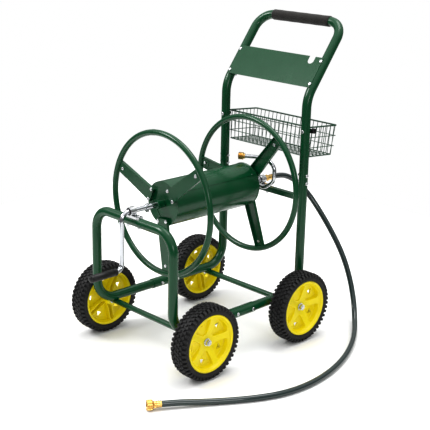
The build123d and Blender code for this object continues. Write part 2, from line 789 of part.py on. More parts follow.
def clip_bolts():
    return [p for spec in clip_bolt_specs() for p in bolt_and_nut(*spec)]


def basket_clips():
    """A plastic loop behind each post that the basket's front wires sit in."""
    parts = []
    for s in (-1, 1):
        strap = Pos(s * (side_x + 7), post_y + tube_r + 1, clip_height) * Box(26, 2, 16)
        strap = fillet(strap.edges().filter_by(Axis.Y), 4)
        loop = pipe((s * (side_x + 12), post_y + tube_r + 9, clip_height), (s * (side_x + 20), post_y + tube_r + 9, clip_height), 9, 5)
        clip = strap + loop
        clip -= bolt_hole((s * side_x, post_y + tube_r - 2, clip_height), (0, 1, 0), 8)
        parts.append(clip)
    return parts


# ---- leader hose ----
def hose_radii(route):
    """Each corner's arc: 0.45 of the shorter run over the tangent of half the turn."""
    radii = []
    for a, b, c in zip(route, route[1:], route[2:]):
        before = Vector(*b) - Vector(*a)
        after = Vector(*c) - Vector(*b)
        half_turn = math.radians(before.get_angle(after)) / 2
        radii.append(0.45 * min(before.length, after.length) / math.tan(half_turn))
    return radii


def leader_hose():
    radii = hose_radii(hose_route)
    print("hose radii", [round(r) for r in radii])
    path = FilletPolyline(*hose_route, radius=radii)
    hose = sweep(Plane(origin=path @ 0, z_dir=path % 0) * Circle(hose_od / 2), path=path)
    print("hose length", round(path.length), "volume ratio", hose.volume / (path.length * math.pi * (hose_od / 2) ** 2))
    return hose


def inlet_fitting():
    """The brass swivel that stays still while the rear shaft turns inside it."""
    nut_end = inlet_y + inlet_nut_length
    shaft_end = inlet_y + water_tube_cover + face_clearance
    bore = water_tube_od / 2 + running_clearance
    flats = inlet_nut_od * math.cos(math.radians(30))
    nut = hexagon((0, inlet_y, reel_z), (0, nut_end, reel_z), flats, bore)
    throat = rod((0, inlet_y + inlet_nut_length / 3, reel_z), (0, nut_end, reel_z), water_tube_od / 2 + 1)
    tail = rod((0, nut_end, reel_z), (0, hose_y, reel_z), ferrule_od / 2 - 1)
    body = nut + throat + tail - rod((0, inlet_y, reel_z), (0, shaft_end, reel_z), bore)
    return body - rod((0, inlet_y, reel_z), (0, hose_y, reel_z), hose_bore / 2)


def hose_end_line(distance):
    """A point on the hose's last run, carried past its end."""
    last = Vector(*hose_route[-1])
    along = (last - Vector(*hose_route[-2])).normalized()
    return tuple(last + along * distance)


def hose_ferrule():
    """The crimped brass ferrule with the stem and collar that hold the coupling nut."""
    collar_start = ferrule_length + coupling_flange + 2 * face_clearance
    collar_end = ferrule_length + collar_recess
    body = rod(hose_end_line(0), hose_end_line(ferrule_length), ferrule_od / 2)
    stem = rod(hose_end_line(ferrule_length), hose_end_line(collar_start), stem_radius)
    collar = rod(hose_end_line(collar_start), hose_end_line(collar_end), collar_radius)
    return body + stem + collar - rod(hose_end_line(0), hose_end_line(collar_end), hose_bore / 2)


def coupling_nut():
    """The free-turning brass nut with a female hose thread."""
    start = ferrule_length + face_clearance
    end = start + coupling_length
    nut = rod(hose_end_line(start), hose_end_line(end), coupling_od / 2)
    nut -= rod(hose_end_line(start + collar_recess), hose_end_line(end), coupling_bore / 2)
    nut -= rod(hose_end_line(start + coupling_flange), hose_end_line(end), collar_radius + running_clearance)
    return nut - rod(hose_end_line(start), hose_end_line(end), stem_radius + running_clearance)


# ---- write one file for each node ----
def write(name, shape):
    solids = shape if isinstance(shape, list) else [shape]
    solids = [s for item in solids for s in item.solids()]
    export_step(Compound(children=solids), f"parts/{name}.step")


front_bar = rod((-side_x, leg_y, front_bar_height), (side_x, leg_y, front_bar_height), tube_r)
rear_bar = Pos(0, post_y, support_bar_z) * Box(2 * side_x, support_bar, support_bar)

os.makedirs("parts", exist_ok=True)
write("front_frame", front_frame())
write("rear_frame_left", rear_side(-1))
write("rear_frame_right", rear_side(1))
write("reel_support_bar", support_bar_node())
write("push_handle", push_handle())
write("foam_grip", foam_grip())
write("tool_plate", tool_plate())
write("front_axle_tube", axle_tube(front_axle_y))
write("rear_axle_tube", axle_tube(rear_axle_y))
write("front_axle", axle(front_axle_y))
write("rear_axle", axle(rear_axle_y))
write("axle_washers", axle_washers())
write("axle_nuts", axle_nuts())
write("rail_bolts", rail_bolts())
write("handle_bolts", handle_bolts())
write("plate_bolts", plate_bolts())
write("front_bearing", bearing(leg_y, front_bearing_y, front_bar, saddle_skirt))
write("rear_bearing", bearing(post_y, rear_bearing_y, rear_bar, 0))
write("front_bush", bush(front_bearing_y, crank_rod))
write("rear_bush", bush(rear_bearing_y, water_tube_od))
write("bearing_bolts", bearing_bolts())
write("basket", basket())
write("basket_clips", basket_clips())
write("basket_bolts", clip_bolts())
write("inlet_fitting", inlet_fitting())
write("leader_hose", leader_hose())
write("hose_ferrule", hose_ferrule())
write("coupling_nut", coupling_nut())
for side, s in (("left", -1), ("right", 1)):
    for end, y in (("front", front_axle_y), ("rear", rear_axle_y)):
        write(f"tyre_{end}_{side}", tyre(s, y))
        write(f"wheel_hub_{end}_{side}", wheel_hub(s, y))
for end, s, angle in (("front", -1, front_spoke_angle), ("rear", 1, rear_spoke_angle)):
    write(f"{end}_ring", ring(s, angle))
    write(f"{end}_spoke_bolts", spoke_bolts(s, angle))
    for i in range(3):
        write(f"{end}_spoke_{i + 1}", spoke(s, angle + 120 * i))
for i in range(3):
    write(f"drum_panel_{i + 1}", drum_panel(i))
write("front_end_plate", end_plate(-1, front_spoke_angle, stub_od / 2))
write("rear_end_plate", end_plate(1, rear_spoke_angle, water_tube_od / 2))
write("stub_shaft", stub_shaft())
write("crank_arm", crank_arm_rod())
write("crank_bolt", crank_bolt())
write("grip_cap", grip_cap())
write("crank_grip", crank_grip())
write("water_tube", water_tube())
write("swan_neck", swan_neck())
write("hose_nipple", hose_nipple())
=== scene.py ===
"""Looks of a garden hose reel cart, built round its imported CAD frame. Metres, +Z up, crank end at -Y."""

import json
import logging
import math
from dataclasses import dataclass
from enum import Enum
from typing import Callable, Iterable, Sequence

import bpy
from mathutils import Matrix, Vector


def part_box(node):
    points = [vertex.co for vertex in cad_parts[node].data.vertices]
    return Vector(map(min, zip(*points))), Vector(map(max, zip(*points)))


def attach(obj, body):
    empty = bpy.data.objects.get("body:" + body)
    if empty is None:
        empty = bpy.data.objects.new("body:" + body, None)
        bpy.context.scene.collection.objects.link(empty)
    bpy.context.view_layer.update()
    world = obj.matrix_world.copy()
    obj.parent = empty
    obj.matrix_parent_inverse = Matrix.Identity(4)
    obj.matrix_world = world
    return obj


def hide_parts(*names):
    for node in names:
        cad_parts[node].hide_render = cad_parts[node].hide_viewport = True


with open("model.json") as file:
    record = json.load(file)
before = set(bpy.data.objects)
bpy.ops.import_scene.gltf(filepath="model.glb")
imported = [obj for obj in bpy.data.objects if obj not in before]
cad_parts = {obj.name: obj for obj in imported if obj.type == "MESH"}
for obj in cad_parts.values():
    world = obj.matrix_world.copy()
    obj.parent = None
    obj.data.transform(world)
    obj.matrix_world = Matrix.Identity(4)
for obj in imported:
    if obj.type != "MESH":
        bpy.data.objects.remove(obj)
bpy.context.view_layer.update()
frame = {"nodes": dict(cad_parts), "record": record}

MM = 0.001
LOG = logging.getLogger("hose_reel_cart")
Point = Sequence[float]


def linear(hex_colour: str) -> tuple[float, float, float, float]:
    """Turn an sRGB hex colour into linear red, green, blue and alpha.

    Args:
        hex_colour: a colour such as "#00482A".

    Returns:
        Four numbers for a colour socket.
    """
    parts = [int(hex_colour[i:i + 2], 16) / 255 for i in (1, 3, 5)]
    low = [c / 12.92 if c <= 0.04045 else ((c + 0.055) / 1.055) ** 2.4 for c in parts]
    return (low[0], low[1], low[2], 1.0)


def per_metre(size_mm: float) -> float:
    """The texture scale at which one repeat of a pattern is this many millimetres long."""
    return 1000.0 / size_mm


def add_node(tree: bpy.types.NodeTree, kind: str, settings: dict | None = None,
             links: dict | None = None) -> bpy.types.Node:
    """Add a node with its settings and its links.

    Args:
        tree: the node tree that takes it.
        kind: the node's type name.
        settings: socket names or numbers, or property names, to their values.
        links: socket names or numbers to the output sockets that feed them.

    Returns:
        The new node.
    """
    made = tree.nodes.new(kind)
    properties = {k: v for k, v in (settings or {}).items() if isinstance(k, str) and hasattr(made, k)}
    for key, value in properties.items():
        setattr(made, key, value)
    for key, value in (settings or {}).items():
        if key not in properties:
            made.inputs[key].default_value = value
    for key, output in (links or {}).items():
        tree.links.new(output, made.inputs[key])
    return made


# ---------------------------------------------------------------- finishes
@dataclass(frozen=True)
class Finish:
    """A surface finish: one procedural material, made the first time that it is asked for.

    Attributes:
        name: the material's name.
        colour: its main colour.
        second: the colour that it drifts to in patches.
        patch_mm: the size of those patches.
        roughness: the shader's roughness.
        grain_mm: the size of the surface's texture.
        grain_depth_mm: the height of that texture.
        metallic: 1 for bare metal.
        ior: the index of refraction.
        coat: the weight of a clear gloss layer.
        sheen: the weight of a soft fuzz.
        slot: the record's material slot that the finish belongs to.
    """

    name: str
    colour: str
    second: str
    patch_mm: float
    roughness: float
    grain_mm: float
    grain_depth_mm: float
    metallic: float = 0.0
    ior: float = 1.5
    coat: float = 0.0
    sheen: float = 0.0
    slot: str = ""

    def material(self) -> bpy.types.Material:
        """The finish's material.

        Returns:
            The material, made once.
        """
        found = bpy.data.materials.get(self.name)
        if found:
            return found
        made = bpy.data.materials.new(self.name)
        made.use_nodes = True
        tree = made.node_tree
        tree.nodes.clear()
        place = add_node(tree, "ShaderNodeTexCoord").outputs["Object"]
        patches = add_node(tree, "ShaderNodeTexNoise", {"Scale": per_metre(self.patch_mm), "Detail": 4.0},
                           {"Vector": place})
        colour = add_node(tree, "ShaderNodeMix",
                          {"data_type": "RGBA", 6: linear(self.colour), 7: linear(self.second)},
                          {0: patches.outputs["Fac"]})
        rough = add_node(tree, "ShaderNodeMapRange",
                         {"To Min": self.roughness * 0.85, "To Max": min(1.0, self.roughness * 1.15)},
                         {"Value": patches.outputs["Fac"]})
        shader = add_node(tree, "ShaderNodeBsdfPrincipled",
                          {"Metallic": self.metallic, "IOR": self.ior, "Coat Weight": self.coat,
                           "Coat Roughness": 0.08, "Sheen Weight": self.sheen},
                          {"Base Color": colour.outputs[2], "Roughness": rough.outputs["Result"],
                           "Normal": self.surface(tree, place)})
        add_node(tree, "ShaderNodeOutputMaterial", None, {"Surface": shader.outputs["BSDF"]})
        made.diffuse_color = linear(self.colour)
        return made

    def surface(self, tree: bpy.types.NodeTree, place: bpy.types.NodeSocket) -> bpy.types.NodeSocket:
        """The finish's fine texture.

        Args:
            tree: the material's nodes.
            place: where on the piece a point is.

        Returns:
            The socket that gives the bumped normal.
        """
        grain = add_node(tree, "ShaderNodeTexNoise", {"Scale": per_metre(self.grain_mm), "Detail": 3.0},
                         {"Vector": place})
        bump = add_node(tree, "ShaderNodeBump", {"Strength": 0.6, "Distance": self.grain_depth_mm * MM},
                        {"Height": grain.outputs["Fac"]})
        return bump.outputs["Normal"]


@dataclass(frozen=True)
class Foam(Finish):
    """Closed-cell foam, whose open skin shows small round cells."""

    def surface(self, tree: bpy.types.NodeTree, place: bpy.types.NodeSocket) -> bpy.types.NodeSocket:
        """Round pits as large as the foam's cells.

        Args:
            tree: the material's nodes.
            place: where on the piece a point is.

        Returns:
            The socket that gives the bumped normal.
        """
        cells = add_node(tree, "ShaderNodeTexVoronoi", {"Scale": per_metre(self.grain_mm)}, {"Vector": place})
        bump = add_node(tree, "ShaderNodeBump", {"Strength": 0.9, "Distance": self.grain_depth_mm * MM},
                        {"Height": cells.outputs["Distance"]})
        return bump.outputs["Normal"]


class Finishes(Enum):
    """Every finish on the cart."""

    # Polyester powder coat on steel tube: a deep gloss over the faint orange peel that baking leaves.
    GREEN_POWDER_COAT = Finish("powder_coated_steel_green", "#004324", "#014B2A", 60.0, 0.26, 2.2, 0.035,
                               ior=1.45, coat=0.15, slot="green_powder_coat")
    # The same coat on welded wire, a little thicker at the crossings.
    GREEN_COATED_WIRE = Finish("powder_coated_wire_green", "#013A22", "#02452E", 30.0, 0.34, 1.6, 0.03,
                               ior=1.45, coat=0.1, slot="green_wire")
    # Bright zinc plate: a cool white metal, slightly cloudy.
    ZINC_PLATED_STEEL = Finish("zinc_plated_steel", "#D9DADB", "#BFC1C4", 7.0, 0.26, 1.2, 0.01,
                               metallic=1.0, slot="zinc_steel")
    # Polished chrome plate: a mirror with faint handling haze.
    CHROME_PLATE = Finish("polished_chrome_plate", "#D0D2D6", "#BFC2C7", 18.0, 0.07, 3.0, 0.003,
                          metallic=1.0, slot="chrome")
    # Turned brass, lightly tarnished between the ridges.
    TURNED_BRASS = Finish("turned_brass", "#E6C57E", "#CFA763", 5.0, 0.24, 0.9, 0.012,
                          metallic=1.0, slot="brass")
    # Moulded rubber tyre: near black, matt, with a fine grain and a little bloom.
    MOULDED_TYRE_RUBBER = Finish("moulded_tyre_rubber", "#0E0E0F", "#171718", 24.0, 0.60, 1.1, 0.10,
                                 ior=1.52, slot="tyre_rubber")
    # Injection-moulded polypropylene: bright yellow with a soft gloss.
    MOULDED_YELLOW_PLASTIC = Finish("moulded_polypropylene_yellow", "#EFDF08", "#E8D604", 45.0, 0.34, 1.4,
                                    0.02, ior=1.49, slot="yellow_plastic")
    # Moulded black plastic, satin.
    MOULDED_BLACK_PLASTIC = Finish("moulded_black_plastic", "#0D0D0E", "#18181A", 12.0, 0.42, 0.9, 0.03,
                                   ior=1.5, slot="black_plastic")
    # Extruded rubber hose: smooth dark green with a long wet highlight.
    EXTRUDED_HOSE_RUBBER = Finish("extruded_hose_rubber", "#08211F", "#0C2A28", 35.0, 0.16, 4.0, 0.02,
                                  ior=1.52, coat=0.5, slot="hose_rubber")
    # Closed-cell nitrile foam: soot black, with no gloss.
    NITRILE_FOAM = Foam("closed_cell_nitrile_foam", "#1B1A18", "#2A2825", 15.0, 0.92, 1.5, 0.22,
                        sheen=0.15, slot="foam")


SLOT_FINISH = {finish.value.slot: finish.value for finish in Finishes}


# ---------------------------------------------------------------- modelling helpers
def start_fresh() -> None:
    """Leave edit mode and deselect everything."""
    if bpy.context.mode != "OBJECT":
        bpy.ops.object.mode_set(mode="OBJECT")
    bpy.ops.object.select_all(action="DESELECT")


def only(piece: bpy.types.Object) -> None:
    """Select one piece alone and make it active."""
    start_fresh()
    piece.select_set(True)
    bpy.context.view_layer.objects.active = piece


def apply_place(piece: bpy.types.Object) -> None:
    """Put a piece's place, turn and scale into its mesh."""
    only(piece)
    bpy.ops.object.transform_apply(location=True, rotation=True, scale=True)


def edit(piece: bpy.types.Object, select: str = "SELECT") -> None:
    """Enter edit mode with all of a piece selected, or none of it.

    Args:
        piece: the piece to edit.
        select: SELECT or DESELECT.
    """
    only(piece)
    bpy.ops.object.mode_set(mode="EDIT")
    bpy.ops.mesh.select_mode(type="VERT")
    bpy.ops.mesh.select_all(action=select)


def pick(piece: bpy.types.Object, mode: str, test: Callable[[Vector, Vector], bool]) -> int:
    """Select the vertices, edges or faces of a piece that pass a test.

    Args:
        piece: the piece, in edit mode.
        mode: VERT, EDGE or FACE.
        test: takes an element's middle and normal.

    Returns:
        How many were selected.
    """
    bpy.ops.mesh.select_mode(type=mode)
    bpy.ops.mesh.select_all(action="DESELECT")
    bpy.ops.object.mode_set(mode="OBJECT")
    mesh = piece.data
    count = 0
    if mode == "FACE":
        for face in mesh.polygons:
            face.select = test(face.center, face.normal)
            count += face.select
    elif mode == "EDGE":
        for edge in mesh.edges:
            ends = [mesh.vertices[i] for i in edge.vertices]
            edge.select = test((ends[0].co + ends[1].co) / 2, (ends[0].co - ends[1].co).normalized())
            count += edge.select
    else:
        for vertex in mesh.vertices:
            vertex.select = test(vertex.co, vertex.normal)
            count += vertex.select
    bpy.ops.object.mode_set(mode="EDIT")
    return count


def modify(piece: bpy.types.Object, kind: str, **settings: object) -> None:
    """Add a modifier to a piece and apply it.

    Args:
        piece: the piece.
        kind: the modifier's type.
        settings: its properties.
    """
    only(piece)
    modifier = piece.modifiers.new(kind.lower(), kind)
    for key, value in settings.items():
        setattr(modifier, key, value)
    bpy.ops.object.modifier_apply(modifier=modifier.name)


def join(pieces: Sequence[bpy.types.Object], name: str) -> bpy.types.Object:
    """Join pieces into the first and name it.

    Args:
        pieces: the pieces.
        name: the joined piece's name.

    Returns:
        The joined piece.
    """
    start_fresh()
    for piece in pieces:
        piece.select_set(True)
    bpy.context.view_layer.objects.active = pieces[0]
    if len(pieces) > 1:
        bpy.ops.object.join()
    pieces[0].name = name
    return pieces[0]


def turned(name: str, profile: Sequence[Point], steps: int = 48, closed: bool = True) -> bpy.types.Object:
    """Turn a profile about the X axis, as on a lathe.

    Args:
        name: the piece's name.
        profile: (x, radius) places in millimetres.
        steps: faces round the turn.
        closed: whether the last place joins the first.

    Returns:
        The turned piece.
    """
    start_fresh()
    bpy.ops.mesh.primitive_plane_add(size=0.001, location=(0, 0, 0))
    piece = bpy.context.object
    piece.name = name
    edit(piece)
    bpy.ops.mesh.merge(type="CENTER")
    bpy.ops.mesh.select_all(action="SELECT")
    here = Vector((0, 0, 0))
    first = Vector((profile[0][0] * MM, 0, profile[0][1] * MM))
    bpy.ops.transform.translate(value=first - here)
    here = first
    path = list(profile[1:]) + ([profile[0]] if closed else [])
    for x, radius in path:
        spot = Vector((x * MM, 0, radius * MM))
        bpy.ops.mesh.extrude_region_move(TRANSFORM_OT_translate={"value": spot - here})
        here = spot
    bpy.ops.mesh.select_all(action="SELECT")
    bpy.ops.mesh.spin(steps=steps, angle=math.tau, center=(0, 0, 0), axis=(1, 0, 0))
    bpy.ops.mesh.select_all(action="SELECT")
    bpy.ops.mesh.remove_doubles(threshold=0.00002)
    bpy.ops.mesh.normals_make_consistent(inside=False)
    bpy.ops.object.mode_set(mode="OBJECT")
    return piece


def put(piece: bpy.types.Object, start: Point, direction: Point) -> bpy.types.Object:
    """Move a piece made along +X so that it starts at a point and runs in a direction.

    Args:
        piece: the piece.
        start: where its origin goes.
        direction: where its +X goes.

    Returns:
        The piece.
    """
    turn = Vector((1, 0, 0)).rotation_difference(Vector(direction).normalized())
    piece.rotation_mode = "QUATERNION"
    piece.rotation_quaternion = turn
    piece.location = Vector(start)
    apply_place(piece)
    return piece


def copy_of(piece: bpy.types.Object, name: str) -> bpy.types.Object:
    """Copy a piece.

    Args:
        piece: the piece.
        name: the copy's name.

    Returns:
        The copy, with a mesh of its own.
    """
    made = piece.copy()
    made.data = piece.data.copy()
    made.name = name
    bpy.context.scene.collection.objects.link(made)
    return made


def dress(piece: bpy.types.Object, finish: Finish, body: str, replaces: Sequence[str] = (),
          smooth: float = 40.0) -> bpy.types.Object:
    """Give a piece its finish and its body.

    Args:
        piece: the piece, in place.
        finish: its finish.
        body: the CAD body that it rides on.
        replaces: CAD nodes that it stands for.
        smooth: the angle in degrees under which edges look round.

    Returns:
        The piece.
    """
    if piece.type == "MESH":
        only(piece)
        bpy.ops.object.shade_smooth_by_angle(angle=math.radians(smooth))
    piece.data.materials.clear()
    piece.data.materials.append(finish.material())
    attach(piece, body)
    if replaces:
        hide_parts(*replaces)
    LOG.info("%s rides on %s", piece.name, body)
    return piece


def rods(name: str, paths: Iterable[Sequence[Point]], radius_mm: float, sides: int = 1) -> bpy.types.Object:
    """Bent wires of one thickness as one mesh.

    Args:
        name: the piece's name.
        paths: each wire's points, in metres.
        radius_mm: the wire's radius.
        sides: the bevel's resolution.

    Returns:
        The piece.
    """
    start_fresh()
    curve = bpy.data.curves.new(name, "CURVE")
    curve.dimensions = "3D"
    curve.bevel_depth = radius_mm * MM
    curve.bevel_resolution = sides
    curve.use_fill_caps = True
    for points in paths:
        spline = curve.splines.new("POLY")
        spline.points.add(len(points) - 1)
        for spot, point in zip(spline.points, points):
            spot.co = (*point, 1.0)
        spline.use_cyclic_u = (Vector(points[0]) - Vector(points[-1])).length < 1e-6
    piece = bpy.data.objects.new(name, curve)
    bpy.context.scene.collection.objects.link(piece)
    only(piece)
    bpy.ops.object.convert(target="MESH")
    return bpy.context.object


# ---------------------------------------------------------------- leader hose
@dataclass
class LeaderHose:
    """The leader hose that hangs from the reel's inlet and lies on the ground, with its end fittings."""

    diameter: float = 20.0
    length: float = 1760.0
    ferrule_length: float = 27.0
    coupling_gap: float = 0.4
    coupling_length: float = 19.0
    route: tuple[Point, ...] = (
        (0, 344, 521.9), (0, 392, 521.9), (5, 439, 505.6), (21, 475, 478), (50, 503, 433.5), (90, 521, 376),
        (147, 531, 303), (200, 535, 228), (244, 529, 150), (285, 508, 76), (332, 460, 22),
        (384, 394, 10.3), (440, 306, 10.3), (490, 202, 10.3), (525, 86, 10.3), (538, -28, 10.3),
        (526, -134, 10.3), (486, -228, 10.3), (434, -312, 10.3), (389, -382, 13.5),
        (358.8, -429.2, 17.0), (331, -474.4, 17.0),
    )

    def end(self) -> tuple[Vector, Vector]:
        """The hose's free end.

        Returns:
            The end, in metres, and the direction that the hose points in there.
        """
        last, before = Vector(self.route[-1]), Vector(self.route[-2])
        return last * MM, (last - before).normalized()

    def build(self) -> None:
        """Build the hose, its ferrule and its coupling nut."""
        ferrule = self.ferrule()
        nut = self.coupling_nut()
        curve = bpy.data.curves.new("leader_hose_line", "CURVE")
        curve.dimensions = "3D"
        curve.bevel_depth = self.diameter / 2 * MM
        curve.bevel_resolution = 8
        curve.resolution_u = 16
        curve.use_fill_caps = True
        spline = curve.splines.new("NURBS")
        spline.points.add(len(self.route) - 1)
        for spot, point in zip(spline.points, self.route):
            spot.co = (*(c * MM for c in point), 1.0)
        spline.order_u = 3
        spline.use_endpoint_u = True
        hose = bpy.data.objects.new("leader_hose_rubber", curve)
        bpy.context.scene.collection.objects.link(hose)
        dress(hose, Finishes.EXTRUDED_HOSE_RUBBER.value, "cart_frame", ["leader_hose"])

    def ferrule(self) -> bpy.types.Object:
        """The crimped brass sleeve at the hose's free end.

        Returns:
            The ferrule.
        """
        start, along = self.end()
        profile = [(0.0, 10.4), (0.6, 11.0), (3.0, 11.0), (4.0, 10.3), (6.5, 10.3), (7.5, 11.0), (12.5, 11.0),
                   (13.5, 10.3), (16.0, 10.3), (17.0, 11.0), (23.5, 11.0), (25.0, 10.6), (26.8, 9.6),
                   (26.9, 8.0), (33.0, 8.0), (33.0, 5.0), (0.0, 5.0)]
        piece = turned("hose_ferrule_crimped", profile, 48)
        edit(piece)
        pick(piece, "FACE", lambda c, n: 17.2 * MM < c.x < 23.4 * MM and math.hypot(c.y, c.z) > 10.8 * MM)
        bpy.ops.mesh.inset(thickness=0.25 * MM, depth=-0.35 * MM, use_individual=True)
        bpy.ops.object.mode_set(mode="OBJECT")
        put(piece, start, along)
        return dress(piece, Finishes.TURNED_BRASS.value, "cart_frame", ["hose_ferrule"], 30.0)

    def coupling_nut(self) -> bpy.types.Object:
        """The ribbed swivel nut with its female thread.

        Returns:
            The nut.
        """
        start, along = self.end()
        first = self.ferrule_length + self.coupling_gap
        last = first + self.coupling_length
        profile = [(first, 8.1), (first, 14.6), (first + 0.8, 15.6), (first + 2.2, 16.4), (last - 2.0, 16.4),
                   (last - 0.6, 15.9), (last, 15.0), (last, 13.6)]
        for i in range(6):
            x = last - 0.8 - i * 2.1
            profile += [(x, 13.3), (x - 0.9, 12.5), (x - 1.2, 12.5)]
        profile += [(first + 6.0, 13.3), (first + 6.0, 10.6), (first + 3.2, 10.6), (first + 3.2, 8.1)]
        piece = turned("coupling_nut_ribbed", profile, 60)
        edit(piece)
        pick(piece, "FACE", lambda c, n: math.hypot(c.y, c.z) > 16.2 * MM and abs(n.x) < 0.3)
        bpy.ops.mesh.inset(thickness=0.35 * MM, depth=-0.6 * MM, use_individual=True)
        bpy.ops.object.mode_set(mode="OBJECT")
        put(piece, start, along)
        return dress(piece, Finishes.TURNED_BRASS.value, "hose_coupling", ["coupling_nut"], 30.0)


# ---------------------------------------------------------------- wheels
@dataclass
class Wheel:
    """A knobbly tyre on a five-spoke moulded hub, made about the X axis with its outer face at +X."""

    end: str
    side: str
    turn: float

    def centre(self) -> Vector:
        """The middle of the wheel."""
        low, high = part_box(f"tyre_{self.end}_{self.side}")
        return (low + high) / 2

    def body(self) -> str:
        """The CAD body's name."""
        return f"wheel_{self.end}_{self.side}"

    def place(self, piece: bpy.types.Object, degrees: float) -> None:
        """Turn a piece to the wheel's angle, face it outwards and move it to the wheel's middle.

        Args:
            piece: the piece, made about the X axis.
            degrees: its first spoke's angle from +Y towards +Z.
        """
        piece.rotation_mode = "XYZ"
        piece.rotation_euler = (math.radians(degrees), 0, 0)
        if self.side == "left":
            piece.scale = (-1, 1, 1)
        piece.location = self.centre()
        apply_place(piece)
        if self.side == "left":
            edit(piece)
            bpy.ops.mesh.normals_make_consistent(inside=False)
            bpy.ops.object.mode_set(mode="OBJECT")


@dataclass
class WheelMoulds:
    """Makes one tyre and one hub, which every wheel copies."""

    radius: float = 127.0
    rim_radius: float = 98.0
    lug_height: float = 5.0
    tread_half_width: float = 20.0
    tread_drop: float = 0.6
    shoulder_drop: float = 4.2
    pitches: int = 46
    spokes: int = 5
    spoke_half_width: float = 11.5
    pocket_sides: tuple[float, float] = (29.0, 68.0)
    pocket_floor: float = 2.0
    opening_size: float = 13.0
    opening_radius: float = 66.0
    tyre_turn: float = 2.3

    def lug(self, x: float, turn: float, size: Point, lean: float, yaw: float) -> bpy.types.Object:
        """One tread block.

        Args:
            x: its place across the tyre, in millimetres.
            turn: its place round the tyre, in pitches.
            size: its length across, length round and height, in millimetres.
            lean: how far it leans over the shoulder, in degrees.
            yaw: its turn on the tread, in degrees.

        Returns:
            The block.
        """
        start_fresh()
        bpy.ops.mesh.primitive_cube_add(size=1)
        block = bpy.context.object
        block.scale = [s * MM for s in size]
        apply_place(block)
        edit(block)
        pick(block, "FACE", lambda c, n: n.z > 0.9)
        bpy.ops.transform.resize(value=(0.82, 0.78, 1.0))
        bpy.ops.mesh.select_all(action="SELECT")
        bpy.ops.mesh.bevel(offset=0.8 * MM, segments=1, affect="EDGES")
        bpy.ops.object.mode_set(mode="OBJECT")
        on_tread = abs(x) < self.tread_half_width
        drop = self.tread_drop if on_tread else self.shoulder_drop
        tilt = math.radians(lean if x > 0 else -lean)
        spot = Matrix.Translation((x * MM, 0, (self.radius - size[2] / 2 - drop) * MM))
        around = Matrix.Rotation(math.tau / self.pitches * turn, 4, "X")
        twist = Matrix.Rotation(math.radians(yaw), 4, "Z")
        block.matrix_world = around @ spot @ Matrix.Rotation(tilt, 4, "Y") @ twist
        apply_place(block)
        return block

    def tyre(self) -> bpy.types.Object:
        """The casing with its bead rings and its rows of tread blocks.

        Returns:
            The tyre.
        """
        crown = self.radius - self.lug_height + 0.6
        rim = self.rim_radius
        shoulder = [(0.0, crown), (13.0, crown - 0.6), (22.0, crown - 2.6), (28.5, crown - 7.0)]
        wall = [(32.3, crown - 12.0), (33.6, crown - 16.5), (33.0, rim + 5.5), (33.4, rim + 4.6)]
        bead = [(32.6, rim + 3.4), (31.2, rim + 1.2), (29.4, rim), (29.0, rim - 0.4)]
        profile = shoulder + wall + bead
        mirrored = [(-x, r) for x, r in reversed(profile[1:])]
        casing = turned("tyre_mould", profile + mirrored, 96)
        blocks = [
            self.lug(-5.5, 0.0, (11.5, 11.0, 6.5), 0, 24),
            self.lug(7.0, 0.5, (11.5, 11.0, 6.5), 0, -24),
            self.lug(-17.0, 0.5, (10.0, 12.5, 6.8), 8, -14),
            self.lug(18.5, 0.0, (10.0, 12.5, 6.8), 8, 14),
            self.lug(-27.0, 0.0, (15.0, 10.5, 8.0), 38, 0),
            self.lug(28.0, 0.5, (15.0, 10.5, 8.0), 38, 0),
        ]
        tread = join(blocks, "tread_mould")
        start_fresh()
        bpy.ops.object.empty_add(location=(0, 0, 0), rotation=(math.tau / self.pitches, 0, 0))
        step = bpy.context.object
        modify(tread, "ARRAY", count=self.pitches, use_relative_offset=False, use_object_offset=True,
               offset_object=step)
        bpy.data.objects.remove(step)
        return join([casing, tread], "tyre_mould")

    def pocket_side(self, distance: float) -> float:
        """Half the pocket's width at a distance from the hub's middle."""
        half = math.pi / self.spokes
        return (distance * math.sin(half) - self.spoke_half_width) / math.cos(half)

    def pocket(self) -> bpy.types.Object:
        """The cutter for the space between two spokes, on the +Y side.

        Returns:
            The cutter.
        """
        near, far = self.pocket_sides
        low, high = self.pocket_side(near), self.pocket_side(far)
        outline = [(near, -low), (near, low), (far, high), (75, 33), (82.5, 18), (84.6, 0), (82.5, -18),
                   (75, -33), (far, -high)]
        start_fresh()
        bpy.ops.mesh.primitive_circle_add(vertices=len(outline), radius=1, fill_type="NGON")
        cutter = bpy.context.object
        for vertex, (a, b) in zip(cutter.data.vertices, outline):
            vertex.co = (self.pocket_floor * MM, a * MM, b * MM)
        edit(cutter)
        pick(cutter, "VERT", lambda c, n: c.y < 70 * MM)
        bpy.ops.mesh.bevel(offset=6.0 * MM, segments=4, affect="VERTICES")
        bpy.ops.mesh.select_all(action="SELECT")
        bpy.ops.mesh.extrude_region_move(TRANSFORM_OT_translate={"value": (40 * MM, 0, 0)})
        bpy.ops.transform.resize(value=(1, 1.035, 1.06))
        bpy.ops.mesh.select_all(action="SELECT")
        bpy.ops.mesh.normals_make_consistent(inside=False)
        pick(cutter, "EDGE", lambda c, n: abs(c.x - self.pocket_floor * MM) < 0.1 * MM)
        bpy.ops.mesh.bevel(offset=3.5 * MM, segments=3, affect="EDGES")
        bpy.ops.object.mode_set(mode="OBJECT")
        return cutter

